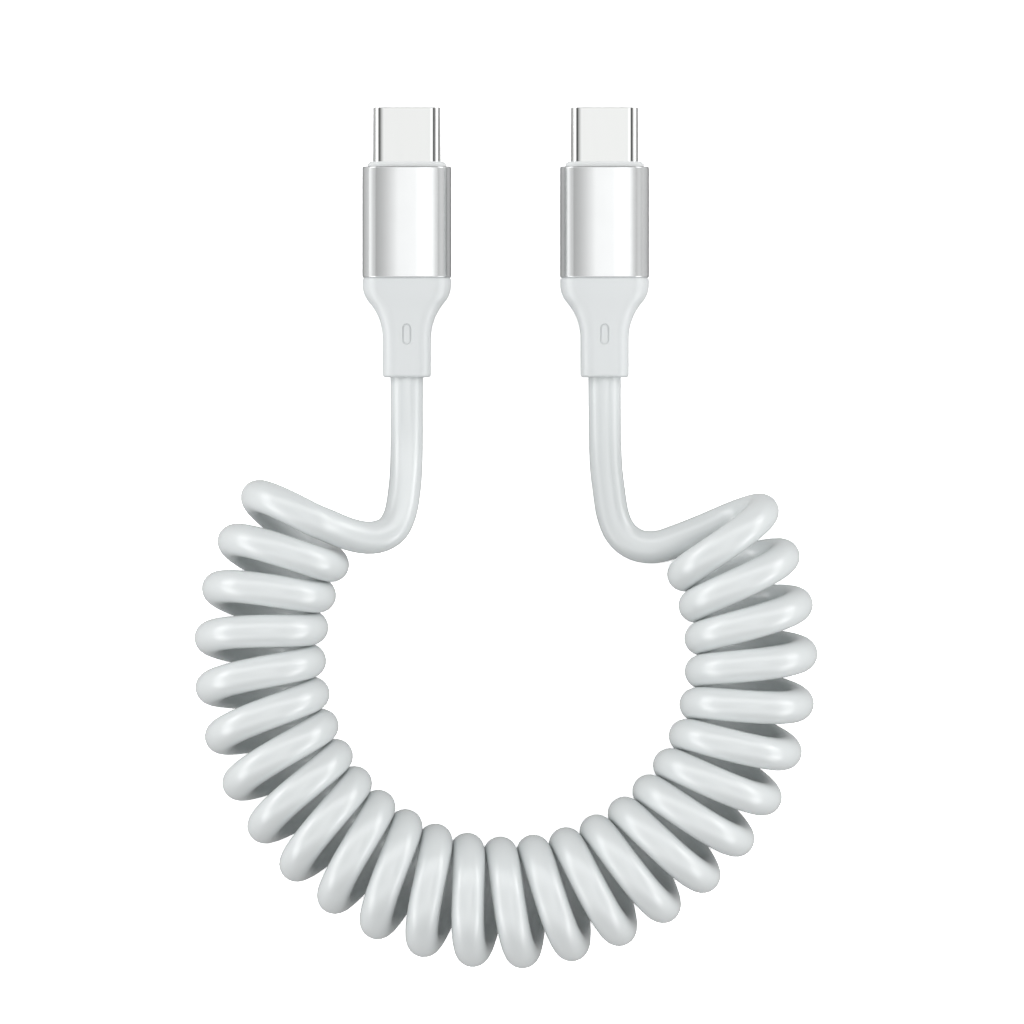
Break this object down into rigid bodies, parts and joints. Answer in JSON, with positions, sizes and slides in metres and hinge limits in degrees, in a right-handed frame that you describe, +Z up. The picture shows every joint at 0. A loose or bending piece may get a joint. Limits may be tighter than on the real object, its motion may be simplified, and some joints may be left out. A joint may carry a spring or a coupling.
{
  "type": "coiled usb-c charging cable",
  "caption": "White curly charging cable with a USB-C plug at each end: the coiled cord lies in an open ring, with short leads, tapered boots and satin metal sleeves.",
  "frame": {"origin": "on the surface that the cable lies on, midway between the two plugs and half-way along them", "axes": "+Y along the plugs and out of their mouths, +X from the left plug to the right one, +Z up"},
  "size_m": [0.0762, 0.1053, 0.016],
  "materials": {
    "cord_white": "satin cool white elastomer jacket",
    "boot_white": "satin off-white moulded elastomer",
    "mould_white": "fine matte moulded plastic",
    "sleeve_aluminium": "bead-blasted and anodised, fine satin",
    "shell_steel": "bright nickel plating on drawn steel",
    "insulator": "matte moulded insulator",
    "contact_gold": "thin gold plating",
    "spring_steel": "bright stamped spring steel",
    "circuit_board": "green solder mask",
    "wire_red": "satin wire insulation",
    "wire_black": "satin wire insulation",
    "wire_white": "satin wire insulation",
    "wire_green": "satin wire insulation",
    "wire_blue": "satin wire insulation"
  },
  "bodies": {
    "root": {"coil": "cord_white", "left_plug_shell": "shell_steel", "left_front_housing": "insulator", "left_contact_block_upper": "insulator", "left_contact_block_lower": "insulator", "left_contacts_upper": "contact_gold", "left_contacts_lower": "contact_gold", "left_latch_plate": "spring_steel", "left_ground_spring_upper": "spring_steel", "left_ground_spring_lower": "spring_steel", "left_paddle_card": "circuit_board", "left_inner_mould": "mould_white", "left_sleeve": "sleeve_aluminium", "left_boot": "boot_white", "left_power_wire": "wire_red", "left_ground_wire": "wire_black", "left_data_minus_wire": "wire_white", "left_data_plus_wire": "wire_green", "left_config_wire": "wire_blue", "left_lead": "cord_white", "right_plug_shell": "shell_steel", "right_front_housing": "insulator", "right_contact_block_upper": "insulator", "right_contact_block_lower": "insulator", "right_contacts_upper": "contact_gold", "right_contacts_lower": "contact_gold", "right_latch_plate": "spring_steel", "right_ground_spring_upper": "spring_steel", "right_ground_spring_lower": "spring_steel", "right_paddle_card": "circuit_board", "right_inner_mould": "mould_white", "right_sleeve": "sleeve_aluminium", "right_boot": "boot_white", "right_power_wire": "wire_red", "right_ground_wire": "wire_black", "right_data_minus_wire": "wire_white", "right_data_plus_wire": "wire_green", "right_config_wire": "wire_blue", "right_lead": "cord_white"}
  },
  "joints": []
}
